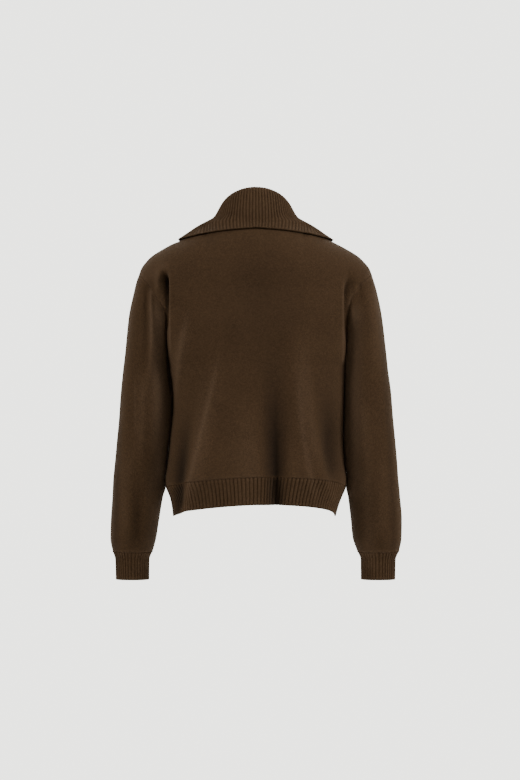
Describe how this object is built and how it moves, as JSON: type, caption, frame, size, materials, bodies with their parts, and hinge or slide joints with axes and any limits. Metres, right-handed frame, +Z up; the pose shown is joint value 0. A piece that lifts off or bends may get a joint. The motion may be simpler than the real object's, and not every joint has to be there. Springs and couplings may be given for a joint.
{
  "type": "turtleneck sweater",
  "caption": "Fine-knit sweater with long sleeves, ribbed hem and cuffs and a deep ribbed fold-over collar, hollow and filled out as when worn, open at neck, hem and wrists.",
  "frame": {"origin": "the middle of the neck base, at the level of the shoulder line beside the neck, where the wearer holds the garment up", "axes": "+Z up along the neck, -Y towards the front, +X towards the wearer's left side"},
  "size_m": [0.5255, 0.2566, 0.704],
  "materials": {
    "jersey": "fine plain knit wool, matt with a light fuzz",
    "rib": "rib knit wool, matt"
  },
  "bodies": {
    "root": {"back_panel": "jersey", "front_panel": "jersey", "sleeve_left": "jersey", "sleeve_right": "jersey", "hem_rib_back": "rib", "hem_rib_front": "rib", "cuff_left": "rib", "cuff_right": "rib", "collar": "rib"}
  },
  "joints": []
}
